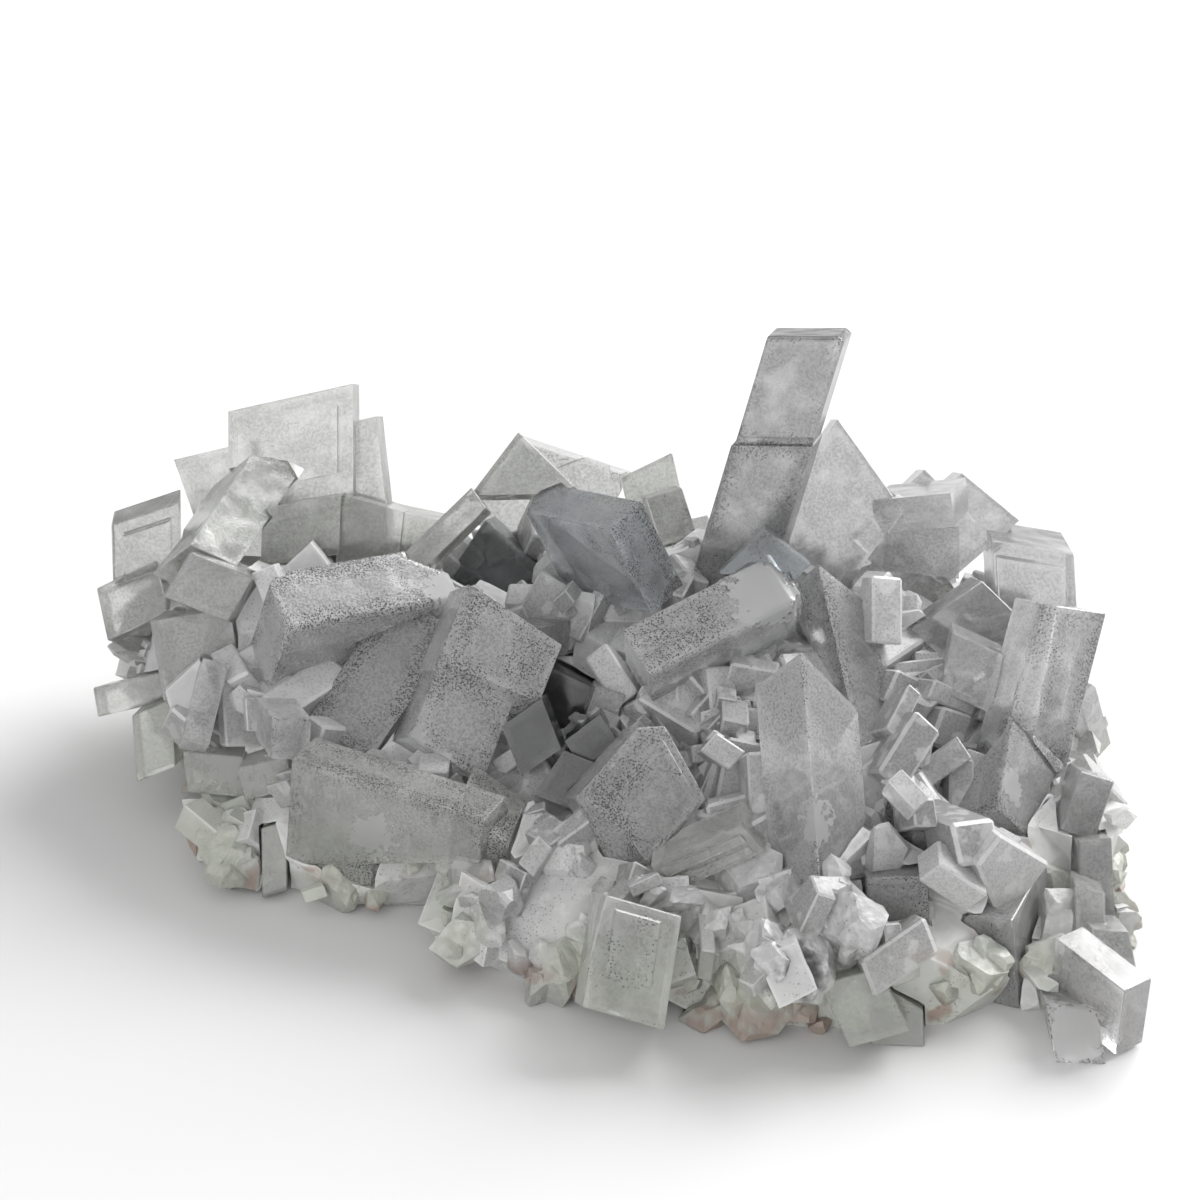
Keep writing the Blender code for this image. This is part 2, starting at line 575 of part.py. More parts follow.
# origin at the middle of the underside, and metres
corners = [vert.co for made in pieces.objects for vert in made.data.vertices]
low = Vector(min(co[i] for co in corners) for i in range(3))
high = Vector(max(co[i] for co in corners) for i in range(3))
origin = Vector(((low.x + high.x) / 2, (low.y + high.y) / 2, low.z))
for made in pieces.objects:
    made.data.transform(Matrix.Diagonal((MM, MM, MM, 1)) @ Matrix.Translation(-origin))
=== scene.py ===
import math
import random

import bmesh
import bpy
from mathutils import Matrix, Quaternion, Vector, noise
from mathutils.bvhtree import BVHTree
from mathutils.kdtree import KDTree


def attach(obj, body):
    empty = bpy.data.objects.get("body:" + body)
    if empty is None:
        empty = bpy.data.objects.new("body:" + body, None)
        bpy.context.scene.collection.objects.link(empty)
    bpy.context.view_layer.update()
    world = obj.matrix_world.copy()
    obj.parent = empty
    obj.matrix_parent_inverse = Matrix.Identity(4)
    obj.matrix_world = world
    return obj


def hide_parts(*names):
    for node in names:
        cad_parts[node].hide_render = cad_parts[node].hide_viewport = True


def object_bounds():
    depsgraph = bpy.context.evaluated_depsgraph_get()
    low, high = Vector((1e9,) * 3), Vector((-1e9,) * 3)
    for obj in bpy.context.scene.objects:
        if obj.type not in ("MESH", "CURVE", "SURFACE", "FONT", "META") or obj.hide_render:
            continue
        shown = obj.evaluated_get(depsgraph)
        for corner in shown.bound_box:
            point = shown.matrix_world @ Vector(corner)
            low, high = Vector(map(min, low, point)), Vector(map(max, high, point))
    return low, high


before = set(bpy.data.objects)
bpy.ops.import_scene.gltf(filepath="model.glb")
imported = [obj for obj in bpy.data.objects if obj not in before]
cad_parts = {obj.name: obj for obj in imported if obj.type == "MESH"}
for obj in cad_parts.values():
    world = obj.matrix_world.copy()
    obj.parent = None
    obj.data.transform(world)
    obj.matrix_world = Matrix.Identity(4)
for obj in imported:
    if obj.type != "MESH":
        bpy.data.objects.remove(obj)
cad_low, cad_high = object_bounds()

# ---------------------------------------------------------------- studio
# The specimen stands on a wide pale sheet. A large soft light hangs behind it, so that it throws a soft
# shadow forwards, a weak one at the front lifts the near faces, and the white room fills in the rest.
MM = 0.001
AIM = Vector((0.2, 2.75, 30)) * MM         # what the camera and both lights face
LOOKING_DOWN = math.radians(28)
CAMERA_DISTANCE = 381 * MM
ROOM_STRENGTH = 0.62
SHEET_WIDTH = 6000 * MM
SHEET_GAP = 0.02 * MM                      # between the sheet and the rock's flat base
SHEET_GREY = 0.66

ahead = Vector((0, math.cos(LOOKING_DOWN), -math.sin(LOOKING_DOWN)))
viewer = AIM - CAMERA_DISTANCE * ahead
camera = bpy.data.objects.new("camera", bpy.data.cameras.new("camera"))
camera.data.lens = 100
camera.data.sensor_width = 36
camera.data.clip_start = 10 * MM
camera.location = viewer
camera.rotation_euler = (math.radians(90) - LOOKING_DOWN, 0, 0)
bpy.context.scene.collection.objects.link(camera)
bpy.context.scene.camera = camera
bpy.context.scene.view_settings.view_transform = "Standard"

room = bpy.data.worlds.new("white_room")
room.use_nodes = True
room.node_tree.nodes["Background"].inputs["Color"].default_value = (1.0, 1.0, 1.0, 1.0)
room.node_tree.nodes["Background"].inputs["Strength"].default_value = ROOM_STRENGTH
bpy.context.scene.world = room


def softbox(name, place, width, watts):
    """A square light that faces the specimen. Its place and width are in metres."""
    lamp = bpy.data.lights.new(name, "AREA")
    lamp.size = width
    lamp.energy = watts
    box = bpy.data.objects.new(name, lamp)
    box.location = place
    box.rotation_euler = (AIM - Vector(place)).to_track_quat("-Z", "Y").to_euler()
    bpy.context.scene.collection.objects.link(box)


softbox("back_light", place=(0.56, 0.48, 0.54), width=0.8, watts=16.0)
softbox("front_card", place=(-0.35, -0.9, 0.35), width=1.1, watts=6.0)

bpy.ops.object.select_all(action="DESELECT")
bpy.ops.mesh.primitive_plane_add(size=SHEET_WIDTH, location=(0, 0, -SHEET_GAP))
sheet = bpy.context.object
sheet.name = "pale_sheet"
sheet_finish = bpy.data.materials.new("pale_paper")
sheet_finish.use_nodes = True
sheet_shader = sheet_finish.node_tree.nodes["Principled BSDF"]
sheet_shader.inputs["Base Color"].default_value = (SHEET_GREY, SHEET_GREY, SHEET_GREY, 1)
sheet_shader.inputs["Roughness"].default_value = 0.9
sheet_shader.inputs["Specular IOR Level"].default_value = 0.1
sheet.data.materials.append(sheet_finish)


# ---------------------------------------------------------------- matrix rock
# The rock that everything grew on: grey barite in small broken crystals, greenish and cream along its
# lower edge, with pinkish brown rock showing through. It is one lump, cut flat where it rests.
BARITE_IOR = 1.64
ROCK_CLEAR = 0.15                # share of the light that passes into it
ROCK_BROWN = (0.36, 0.25, 0.20, 1)
ROCK_EDGE = math.radians(40)     # its faces meet in an edge where they turn by more than this
ROCK_STEP = 1.5 * MM             # longest side of a face left in its mesh
ROCK_ROUGHNESS = 0.14 * MM       # height of the unevenness
ROCK_HUMPS = 400                 # coarse waves of it in a metre
ROCK_GRIT = 1100                 # fine waves of it in a metre
ROCK_BASE = 0.3 * MM             # the rock stays even below this height
SAME_POINT = 0.002 * MM          # points of a solid that are nearer than this are one
SAME_FACE = math.radians(1)      # triangles of a solid that turn by less than this are one face
EDGE_SPACING = 0.3 * MM          # between the points that stand for an edge
EDGE_REACH = 4 * MM              # the edge value runs from 0 on an edge to 1 this far from it


class Shade:
    """A shader node's output. Sums on it add Math nodes, and add() adds any other node."""

    def __init__(self, tree, output=None):
        self.tree = tree
        self.output = output

    def add(self, kind, inputs=(), output=0, **settings):
        node = self.tree.nodes.new(kind)
        for name, value in settings.items():
            setattr(node, name, value)
        for name, value in dict(inputs).items():
            if isinstance(value, Shade):
                self.tree.links.new(value.output, node.inputs[name])
            else:
                node.inputs[name].default_value = value
        return Shade(self.tree, node.outputs[output])

    def other(self, output):
        """Another output of the same node."""
        return Shade(self.tree, self.output.node.outputs[output])

    def work_out(self, operation, first, second):
        return self.add("ShaderNodeMath", {0: first, 1: second}, operation=operation)

    def __add__(self, other):
        return self.work_out("ADD", self, other)

    def __sub__(self, other):
        return self.work_out("SUBTRACT", self, other)

    def __rsub__(self, other):
        return self.work_out("SUBTRACT", other, self)

    def __mul__(self, other):
        return self.work_out("MULTIPLY", self, other)

    __radd__ = __add__
    __rmul__ = __mul__

    def between(self, low, high):
        """0 at low and 1 at high, with a soft step in between. Low may be the larger of the two."""
        return self.add("ShaderNodeMapRange", {"Value": self, "From Min": low, "From Max": high},
                        interpolation_type="SMOOTHSTEP")

    def mix(self, colour, other):
        """One colour where this is 0, and the other where it is 1."""
        return self.add("ShaderNodeMix", {0: self, 6: colour, 7: other}, output=2, data_type="RGBA")

    def feed(self, shader, socket):
        self.tree.links.new(self.output, shader.inputs[socket])


def grey(value, green=0.0):
    """A grey, with a little green and yellow in it."""
    return (value, value * (1 + 0.2 * green), value * (1 - 0.6 * green), 1.0)


def begin_material(name, clear):
    """A barite material: itself, its shader, and the start of its nodes. Clear is a share from 0 to 1."""
    material = bpy.data.materials.new(name)
    material.use_nodes = True
    shader = material.node_tree.nodes["Principled BSDF"]
    shader.inputs["IOR"].default_value = BARITE_IOR
    shader.inputs["Transmission Weight"].default_value = clear
    shader.inputs["Specular IOR Level"].default_value = 0.35
    return material, shader, Shade(material.node_tree)


def place_and_height(start):
    """Where a point of the piece is, and how high, both in metres."""
    place = start.add("ShaderNodeTexCoord", output="Object")
    return place, start.add("ShaderNodeSeparateXYZ", {"Vector": place}, output="Z")


def stored(start, name):
    """A number from 0 to 1 that is kept in the mesh."""
    return start.add("ShaderNodeAttribute", output="Fac", attribute_name=name)


def distance_to(place, spot):
    """How far a point of the piece is from a spot, in metres."""
    return place.add("ShaderNodeVectorMath", {0: place, 1: spot}, output="Value", operation="DISTANCE")


def cloud(place, scale, detail):
    """Soft noise from 0 to 1, with so many waves in a metre."""
    return place.add("ShaderNodeTexNoise", {"Vector": place, "Scale": scale, "Detail": detail})


def speckles(place, density):
    """Fine dark grains, about 0.2 mm apart. Density is the share of the places that holds one."""
    cells = place.add("ShaderNodeTexVoronoi", {"Vector": place, "Scale": 4600}, output="Distance")
    return cells.between(0.48, 0.32) * (density - cells.other("Color")).between(-0.02, 0.25)


def bumps(height, strength, depth, shader):
    """Makes a pattern look raised by so much, on a surface that stays as it is."""
    height.add("ShaderNodeBump", {"Height": height, "Strength": strength,
                                  "Distance": depth}).feed(shader, "Normal")


def activate(piece):
    """Makes a piece the only selected one."""
    bpy.ops.object.select_all(action="DESELECT")
    piece.select_set(True)
    bpy.context.view_layer.objects.active = piece


def whole_copy(node, name):
    """A copy of a solid, with its loose triangles merged into whole flat faces."""
    made = bpy.data.objects.new(name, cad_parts[node].data.copy())
    bpy.context.scene.collection.objects.link(made)
    made.data.materials.clear()
    activate(made)
    bpy.ops.object.mode_set(mode="EDIT")
    bpy.ops.mesh.select_all(action="SELECT")
    bpy.ops.mesh.remove_doubles(threshold=SAME_POINT)
    bpy.ops.mesh.dissolve_limited(angle_limit=SAME_FACE)
    bpy.ops.object.mode_set(mode="OBJECT")
    return made


def sharp_edges(piece, least_turn):
    """Points along a piece's edges where its faces turn by more than the least, in a search tree."""
    points = []
    body = bmesh.new()
    body.from_mesh(piece.data)
    for edge in body.edges:
        if edge.calc_face_angle(0) > least_turn:
            first, last = (vert.co for vert in edge.verts)
            count = 1 + int((last - first).length / EDGE_SPACING)
            points += [first.lerp(last, (step + 0.5) / count) for step in range(count)]
    body.free()
    tree = KDTree(len(points))
    for index, point in enumerate(points):
        tree.insert(point, index)
    tree.balance()
    return tree


def split_faces(body, longest):
    """Divides the faces of a bmesh into triangles, with few sides over the longest."""
    bmesh.ops.triangulate(body, faces=body.faces)
    for _ in range(6):
        long_edges = [edge for edge in body.edges if edge.calc_length() > longest]
        bmesh.ops.subdivide_edges(body, edges=long_edges, cuts=1)
        bmesh.ops.triangulate(body, faces=[face for face in body.faces if len(face.verts) > 3])
    body.normal_update()


rock = whole_copy("matrix_rock", "rock_body")
rock_edges = sharp_edges(rock, ROCK_EDGE)
body = bmesh.new()
body.from_mesh(rock.data)
split_faces(body, ROCK_STEP)
near = body.verts.layers.float.new("edge")
for vert in body.verts:
    vert[near] = min(EDGE_REACH, rock_edges.find(vert.co)[2]) / EDGE_REACH
    if vert.co.z > ROCK_BASE:
        lift = noise.noise(vert.co * ROCK_HUMPS) + 0.6 * noise.noise(vert.co * ROCK_GRIT)
        vert.co += vert.normal * lift * ROCK_ROUGHNESS
body.to_mesh(rock.data)
body.free()

rock_finish, shader, start = begin_material("rock_and_barite", ROCK_CLEAR)
place, height = place_and_height(start)
patches = cloud(place, 120, 3)
pebbles = cloud(place, 700, 2)
colour = patches.mix(grey(0.42), grey(0.72))
colour = (pebbles.between(0.5, 0.72) * 0.6).mix(colour, grey(0.70))
low = height.between(15 * MM, 4 * MM) * cloud(place, 70, 2).between(0.35, 0.6)
colour = (low * 0.8).mix(colour, grey(0.58, green=0.14))
brown = low * cloud(place, 230, 3).between(0.56, 0.66)
colour = (brown * 0.8).mix(colour, ROCK_BROWN)
grains = speckles(place, 0.1 + 0.3 * patches.between(0.6, 0.4))
colour = (grains * 0.7).mix(colour, grey(0.08))
# painted highlight: the rock is made lighter along its sharp edges
painted_rock_highlight = stored(start, "edge").between(0.12, 0.02)
colour = (painted_rock_highlight * 0.4).mix(colour, grey(0.85))
colour.feed(shader, "Base Color")
(0.34 + 0.3 * pebbles).feed(shader, "Roughness")
bumps(pebbles, 0.3, 0.3 * MM, shader)
rock.data.materials.append(rock_finish)
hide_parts("matrix_rock")
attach(rock, "root")


# ---------------------------------------------------------------- druse
# The skin of small crystals all over the rock. They grow in tufts of a few that share a direction:
# tablets, stubby boxes, pointed blades and broken lumps of barite, sunk by their roots in the rock.
DRUSE_CLEAR = 0.50               # share of the light that passes into it
DRUSE_ROUGHNESS = 0.32
DRUSE_BROWN = (0.45, 0.33, 0.27, 1)

UNIT_BLUNTING = 0.045            # of a small crystal's edges, while the crystal is about 1 in size
UNIT_LEAN = 0.16                 # how far its sides lean
UNIT_SLOPE = 0.12                # how far its top slopes down to both sides
EDGE_HIGHLIGHT_AREA = 0.12                 # its faces that are smaller than this are its blunted edges, which get a painted highlight
LUMP_SEED = 23
LUMP_KINDS = 8                   # different broken lumps, also about 1 in size
LUMP_RADIUS = 0.62               # of the ball that a lump is cut from
LUMP_CUTS = 10
CUT_DEPTHS = (0.24, 0.44)        # distances of the cuts from its middle
SAME_CUT = math.radians(4)       # faces of a lump that turn by less than this are one

DRUSE_SEED = 7
DRUSE_TUFTS = 1250
LUMP_SHARE = 0.25                # share of the tufts that are broken lumps
BLOCK_SHARE = 0.3                # how thickly the flat faces of the rock's own blocks are grown over
RIM_SHARE = 0.12                 # share of the tufts on the broken rim that grow all the same
RIM_HEIGHT = 8.5 * MM            # the rock's lower edge is broken up to this height
BROKEN_PATCH = Vector((16, -36, 11)) * MM      # middle of a broken patch higher up
BROKEN_REACH = 12 * MM           # its radius
TUFTS_FROM = 1.5 * MM            # height that tufts grow from
TUFTS_DOWN_TO = -0.6             # faces of the rock that point down more than this stay bare
TUFT_LEAN = 0.65                 # how far tufts turn away from the face that they grow on
TUFT_LIFT = Vector((0, 0, 0.25))               # and how far all of them turn upwards
TUFT_SIZES = (2.7 * MM, 7.3 * MM, 1.4)         # smallest, largest, and how far small ones prevail
TUFT_COUNTS = (1, 2, 2, 3)       # crystals in a tuft
COARSE_FROM = 14 * MM            # the crystals are coarser to the right of this
COARSE_BEFORE = 22 * MM          # and in front of this
COARSER = 1.35
MEMBER_SIZES = (0.45, 1.0)       # of a tuft's other crystals, in sizes of its first
MEMBER_PLACES = ((-0.7, 0.7), (-0.6, 0.6), (-0.3, 0.15))   # from it, along its width, depth and height
MEMBER_TURN = 0.12               # how far one may turn from the tuft's direction, in radians
MEMBER_TONE = 0.15               # how far one may be lighter or darker than its tuft
CRYSTAL_STRETCH = ((0.8, 1.15), (0.7, 1.2), (0.8, 1.2))    # of its width, thickness and height
CRYSTAL_RISE = 0.02              # of its middle over the rock, in sizes of the crystal
ANY_WAY = ((-1, 1), (-1, 1), (-1, 1))

DRUSE_FLOOR = 0.4 * MM           # a small crystal's middle stays this high, and CLEAR_BELOW more
DRUSE_GAP = 0.15 * MM            # this far from the large crystals, and CLEAR_AROUND more
BOX_MARGIN = 1.2 * MM            # and CLEAR_BESIDE inside this margin round the solids' box
CLEAR_BELOW = 0.75               # these three are in sizes of the crystal
CLEAR_AROUND = 0.12
CLEAR_BESIDE = 0.7
SEARCH_REACH = 8 * MM            # how far away a large crystal is looked for
BACK_FROM = 18 * MM              # the back field of small crystals lies behind this
LEFT_TO = -16 * MM               # and in front of it, the left field ends here
RIGHT_FROM = 20 * MM             # and the right one begins here


def small_crystal(width, thickness, height, point):
    """A crystal of unit size with blunt edges. Point is how far its top draws in to a wedge."""
    bpy.ops.object.select_all(action="DESELECT")
    bpy.ops.mesh.primitive_cube_add(size=1)
    made = bpy.context.object
    bpy.ops.object.mode_set(mode="EDIT")
    bpy.ops.mesh.select_all(action="SELECT")
    bpy.ops.transform.resize(value=(width, thickness, height))
    bpy.ops.object.mode_set(mode="OBJECT")
    for vert in made.data.vertices:
        if vert.co.z > 0:
            vert.co.x *= 1 - point
            vert.co.z -= UNIT_SLOPE * abs(vert.co.y)
        vert.co.x += UNIT_LEAN * vert.co.y
    bpy.ops.object.mode_set(mode="EDIT")
    bpy.ops.mesh.select_all(action="SELECT")
    bpy.ops.mesh.bevel(offset=UNIT_BLUNTING, segments=1, affect="EDGES")
    bpy.ops.object.mode_set(mode="OBJECT")
    mesh = made.data.copy()
    bpy.data.objects.remove(made)
    return mesh


def broken_lump(dice):
    """A lump of unit size, broken off flat on all its sides."""
    bpy.ops.object.select_all(action="DESELECT")
    bpy.ops.mesh.primitive_ico_sphere_add(subdivisions=1, radius=LUMP_RADIUS)
    made = bpy.context.object
    lump = bmesh.new()
    lump.from_mesh(made.data)
    for _ in range(LUMP_CUTS):
        away = Vector([dice.gauss(0, 1) for _ in range(3)]).normalized()
        cut = bmesh.ops.bisect_plane(lump, geom=lump.verts[:] + lump.edges[:] + lump.faces[:],
                                     plane_co=away * dice.uniform(*CUT_DEPTHS), plane_no=away,
                                     clear_outer=True)
        open_edges = [item for item in cut["geom_cut"] if isinstance(item, bmesh.types.BMEdge)]
        bmesh.ops.holes_fill(lump, edges=open_edges, sides=0)
    bmesh.ops.dissolve_limit(lump, angle_limit=SAME_CUT, verts=lump.verts, edges=lump.edges)
    bmesh.ops.recalc_face_normals(lump, faces=lump.faces)
    lump.to_mesh(made.data)
    lump.free()
    mesh = made.data.copy()
    bpy.data.objects.remove(made)
    return mesh


tablet = small_crystal(width=1.3, thickness=0.42, height=1.2, point=0.0)
stubby_box = small_crystal(width=0.85, thickness=0.6, height=1.25, point=0.0)
thick_tablet = small_crystal(width=1.4, thickness=0.7, height=1.0, point=0.15)
pointed_blade = small_crystal(width=1.1, thickness=0.55, height=1.3, point=0.5)
habits = [tablet, stubby_box, thick_tablet, pointed_blade]

lump_dice = random.Random(LUMP_SEED)
lumps = [broken_lump(lump_dice) for _ in range(LUMP_KINDS)]


def nearest_faces(item):
    """The faces of one object, for finding the nearest of them."""
    gathered = bmesh.new()
    gathered.from_mesh(item.data)
    tree = BVHTree.FromBMesh(gathered)
    gathered.free()
    return tree


rock_tree = nearest_faces(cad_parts["matrix_rock"])
crystal_trees = [nearest_faces(item) for name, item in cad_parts.items() if name != "matrix_rock"]


def on_broken_rim(point):
    """Whether a point of the rock is on its broken lower edge or the broken patch at the front."""
    return point.z < RIM_HEIGHT or (point - BROKEN_PATCH).length < BROKEN_REACH


def beyond_solids(point, reach):
    """Whether a ball at a point sticks out too far past the sides of the box round the solids."""
    return (point.x + reach > cad_high[0] + BOX_MARGIN or point.x - reach < cad_low[0] - BOX_MARGIN
            or point.y + reach > cad_high[1] + BOX_MARGIN or point.y - reach < cad_low[1] - BOX_MARGIN)


def inside_large(point, reach):
    """Whether a point lies in a large crystal, or nearer to one than reach."""
    for tree in crystal_trees:
        spot, normal, _, distance = tree.find_nearest(point, SEARCH_REACH)
        if spot and ((point - spot).dot(normal) < 0 or distance < reach):
            return True
    return False


def hides_large(point):
    """Whether a point stands in front of a large crystal, as the best side is seen."""
    sight = (point - viewer).normalized()
    start = point + sight * MM
    rock_hit = rock_tree.ray_cast(start, sight)[3] or math.inf
    return any((tree.ray_cast(start, sight)[3] or math.inf) < rock_hit for tree in crystal_trees)


def has_room(middle, up, size):
    """Whether a small crystal is clear of the floor and the large crystals, and hides none of them."""
    if middle.z < CLEAR_BELOW * size + DRUSE_FLOOR or inside_large(middle, CLEAR_AROUND * size + DRUSE_GAP):
        return False
    top = middle + up * size * 0.5
    return not (hides_large(middle) or hides_large(top) or beyond_solids(middle, CLEAR_BESIDE * size))


def field_at(point):
    """The name of the field of small crystals that a point belongs to."""
    if point.y > BACK_FROM:
        return "back_druse"
    if point.x < LEFT_TO:
        return "left_druse"
    if point.x < RIGHT_FROM:
        return "middle_druse"
    return "right_druse"


def vector_between(dice, ranges):
    """A vector with each of its three numbers in a range of its own."""
    return Vector([dice.uniform(low, high) for low, high in ranges])


def spot_on(face, dice):
    """A point somewhere on a triangle."""
    a, b, c = (vert.co for vert in face.verts)
    u, v = dice.random(), dice.random()
    if u + v > 1:
        u, v = 1 - u, 1 - v
    return a + u * (b - a) + v * (c - a)


def size_between(dice, smallest, largest, power):
    """A size in a range. The higher the power, the more of them are small."""
    return smallest + (largest - smallest) * dice.random() ** power


def add_copy(crust, mesh):
    """Adds a copy of a mesh to a bmesh, and gives back its points and faces."""
    first_vert = len(crust.verts)
    first_face = len(crust.faces)
    crust.from_mesh(mesh)
    crust.verts.ensure_lookup_table()
    crust.faces.ensure_lookup_table()
    return crust.verts[first_vert:], crust.faces[first_face:]


def put_in_place(verts, middle, turn, stretch):
    """Stretches, turns and moves some points."""
    shape = Matrix.Translation(middle) @ turn.to_matrix().to_4x4() @ Matrix.Diagonal((*stretch, 1))
    for vert in verts:
        vert.co = shape @ vert.co


def crust_piece(name, crust, finish):
    """Turns a bmesh of joined small crystals or lumps into a piece of the rock's crust."""
    mesh = bpy.data.meshes.new(name)
    crust.to_mesh(mesh)
    crust.free()
    piece = bpy.data.objects.new(name, mesh)
    bpy.context.scene.collection.objects.link(piece)
    mesh.materials.append(finish)
    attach(piece, "root")


bare_rock = whole_copy("matrix_rock", "bare_rock")
ground = bmesh.new()
ground.from_mesh(bare_rock.data)
bpy.data.objects.remove(bare_rock)
flat = ground.faces.layers.int.new("flat")
for face in ground.faces:
    face[flat] = len(face.verts) > 3    # only the rock's own blocks have faces with so many sides
bmesh.ops.triangulate(ground, faces=ground.faces)
grown_over = [face for face in ground.faces
              if face.calc_center_median().z > TUFTS_FROM and face.normal.z > TUFTS_DOWN_TO]
shares = [face.calc_area() * (BLOCK_SHARE if face[flat] else 1) for face in grown_over]

fields = {name: bmesh.new() for name in ("left_druse", "middle_druse", "right_druse", "back_druse")}
tones = {name: field.verts.layers.float.new("tone") for name, field in fields.items()}
painted_edge_highlight = {name: field.faces.layers.float.new("painted_edge_highlight") for name, field in fields.items()}
dice = random.Random(DRUSE_SEED)
for face in dice.choices(grown_over, shares, k=DRUSE_TUFTS):
    spot = spot_on(face, dice)
    if on_broken_rim(spot) and dice.random() > RIM_SHARE:
        continue
    lean = vector_between(dice, ANY_WAY) * TUFT_LEAN
    up = (face.normal + lean + TUFT_LIFT).normalized()
    aim = up.to_track_quat("Z", "Y") @ Quaternion((0, 0, 1), dice.uniform(0, 2 * math.pi))
    habit = dice.choice(lumps if dice.random() < LUMP_SHARE else habits)
    bulk = size_between(dice, *TUFT_SIZES)
    if spot.x > COARSE_FROM and spot.y < COARSE_BEFORE:
        bulk *= COARSER
    tone = dice.random()
    for member in range(dice.choice(TUFT_COUNTS)):
        size = bulk * dice.uniform(*MEMBER_SIZES) if member else bulk
        away = aim @ vector_between(dice, MEMBER_PLACES)
        middle = spot + (away * bulk if member else Vector()) + up * size * CRYSTAL_RISE
        wobble = Quaternion(vector_between(dice, ANY_WAY), dice.uniform(0, MEMBER_TURN))
        stretch = vector_between(dice, CRYSTAL_STRETCH) * size
        shade = min(1, max(0, tone + dice.uniform(-MEMBER_TONE, MEMBER_TONE)))
        if not has_room(middle, up, size):
            continue
        name = field_at(middle)
        verts, faces = add_copy(fields[name], habit)
        # the small faces of each copy are marked for a painted edge highlight
        for copied_face in faces:
            copied_face[painted_edge_highlight[name]] = copied_face.calc_area() < EDGE_HIGHLIGHT_AREA
        put_in_place(verts, middle, wobble @ aim, stretch)
        for vert in verts:
            vert.co.z = max(vert.co.z, 0)
            vert[tones[name]] = shade


def fine_grain(place):
    """The sugary grain of barite, on and off."""
    return cloud(place, 3600, 0).between(0.40, 0.66)


druse_finish, shader, start = begin_material("druse_barite", DRUSE_CLEAR)
shader.inputs["Roughness"].default_value = DRUSE_ROUGHNESS
place, height = place_and_height(start)
tone = stored(start, "tone")
patches = cloud(place, 60, 2)
colour = tone.mix(grey(0.48), grey(0.90))
colour = (fine_grain(place) * 0.5).mix(colour, tone.mix(grey(0.25), grey(0.55)))
veils = cloud(place, 420, 2).between(0.52, 0.62)
colour = (veils * 0.6).mix(colour, grey(0.92))
# painted highlight: the small faces that blunt each crystal's edges are made near white
colour = (stored(start, "painted_edge_highlight") * 0.6).mix(colour, grey(0.96))
low = height.between(16 * MM, 5 * MM) * patches.between(0.38, 0.55)
colour = (low * 0.85).mix(colour, tone.mix(grey(0.60, green=0.14), grey(0.86, green=0.14)))
brown = low * cloud(place, 190, 2).between(0.56, 0.64) * tone.between(0.6, 0.3)
colour = (brown * 0.8).mix(colour, DRUSE_BROWN)
grains = speckles(place, 0.06 + 0.25 * patches.between(0.62, 0.42))
colour = (grains * 0.7).mix(colour, grey(0.10))
colour.feed(shader, "Base Color")
for name, field in fields.items():
    crust_piece(name, field, druse_finish)


# ---------------------------------------------------------------- broken rim
# Where the specimen was broken off its bed, the lower edge all round and one patch at the front are
# rough lumps of white and greenish barite, with pinkish brown rock and a sooty spot between them.
RIM_CLEAR = 0.40                 # share of the light that passes into it
RIM_BROWN = (0.44, 0.31, 0.26, 1)
SOOTY_SPOT = Vector((20.5, -44.0, 11.0)) * MM
SOOT_REACHES = (6.5 * MM, 3.5 * MM)            # where the soot begins, and where it is full
SOOT_STRAYING = 4 * MM           # how ragged its edge is

RIM_SEED = 5
RIM_LUMPS = 420
RIM_DOWN_TO = -0.7               # faces of the rock that point down more than this carry no lumps
RIM_SIZES = (3.2 * MM, 8.7 * MM, 1.6)          # smallest, largest, and how far small ones prevail
RIM_STRETCH = ((0.8, 1.3), (0.7, 1.1), (0.6, 1.0))
RIM_SINKING = 0.05               # of a lump's middle into the rock, in sizes of the lump
RIM_AROUND = 0.2                 # kept from the large crystals, in sizes of the lump
RIM_BESIDE = 0.5                 # kept inside the margin round the solids' box, in the same way
RIM_FLOOR = 0.02 * MM            # nothing hangs lower than this
CLOSER_BEFORE = -8 * MM          # in front of this, the lumps stand closer
CLOSER = 2.2
RIM_RIGHT_FROM = -2 * MM         # the bound between the two pieces at the front
RIM_STEP = 0.8 * MM              # longest side of a face in a lump
RIM_RIPPLE = 0.25 * MM           # height of the broken ripples
RIM_RIDGES = 300                 # coarse ripples in a metre
RIM_GRIT = 900                   # fine ripples in a metre

rim_faces = [face for face in ground.faces
             if face.normal.z > RIM_DOWN_TO and on_broken_rim(face.calc_center_median())]
shares = [face.calc_area() * (CLOSER if face.calc_center_median().y < CLOSER_BEFORE else 1)
          for face in rim_faces]
rims = {name: bmesh.new() for name in ("front_left_rim", "front_right_rim", "back_rim")}
dice = random.Random(RIM_SEED)
for face in dice.choices(rim_faces, shares, k=RIM_LUMPS):
    spot = spot_on(face, dice)
    size = size_between(dice, *RIM_SIZES)
    middle = spot - face.normal * size * RIM_SINKING
    turn = Quaternion([dice.gauss(0, 1) for _ in range(4)]).normalized()
    stretch = vector_between(dice, RIM_STRETCH) * size
    lump = dice.choice(lumps)
    if not on_broken_rim(middle) or inside_large(middle, RIM_AROUND * size) or hides_large(middle):
        continue
    if beyond_solids(middle, RIM_BESIDE * size):
        continue
    if middle.y > 0:
        rim = rims["back_rim"]
    elif middle.x < RIM_RIGHT_FROM:
        rim = rims["front_left_rim"]
    else:
        rim = rims["front_right_rim"]
    verts, _ = add_copy(rim, lump)
    put_in_place(verts, middle, turn, stretch)
ground.free()
for rim in rims.values():
    split_faces(rim, RIM_STEP)
    for vert in rim.verts:
        ridge = 0.4 - abs(noise.noise(vert.co * RIM_RIDGES))
        ripple = ridge + 0.5 * noise.noise(vert.co * RIM_GRIT)
        vert.co += vert.normal * ripple * RIM_RIPPLE
        vert.co.z = max(vert.co.z, RIM_FLOOR)

